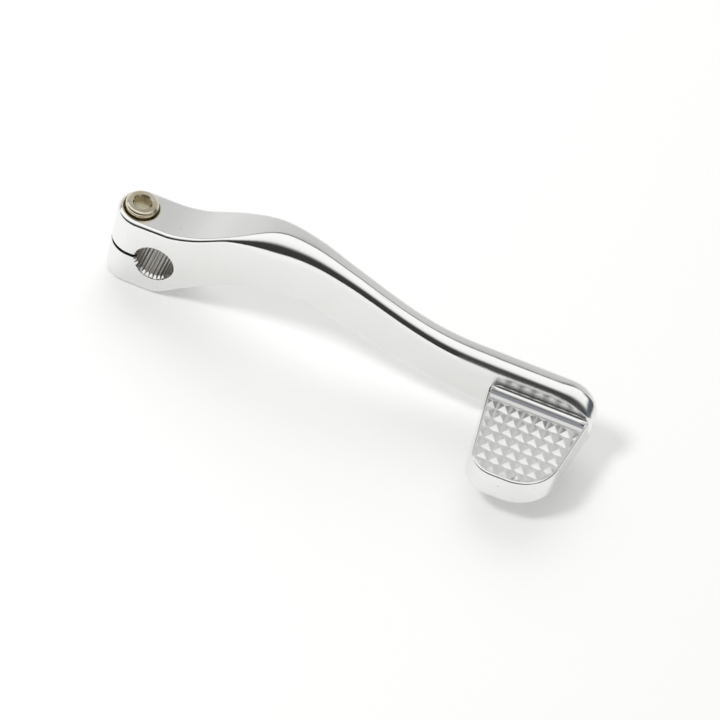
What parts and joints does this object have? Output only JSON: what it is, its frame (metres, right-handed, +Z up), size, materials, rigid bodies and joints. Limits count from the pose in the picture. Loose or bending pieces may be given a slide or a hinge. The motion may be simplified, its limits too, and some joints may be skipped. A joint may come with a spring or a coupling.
{
  "type": "kick start lever",
  "caption": "Polished lever with a splined clamp boss and cap screw at one end and a foot pad with a pyramid tread at the other.",
  "frame": {"origin": "on the axis of the splined bore, halfway through the boss", "axes": "+Y along the bore away from the pad's side, +X along the arm towards the pad, +Z up towards the tread and the bolt's head"},
  "size_m": [0.1535, 0.0471, 0.0399],
  "materials": {
    "polished_aluminium": "polished",
    "pale_gold_steel": "pale gold passivated"
  },
  "bodies": {
    "root": {"lever": "polished_aluminium", "pinch_bolt": "pale_gold_steel"}
  },
  "joints": []
}
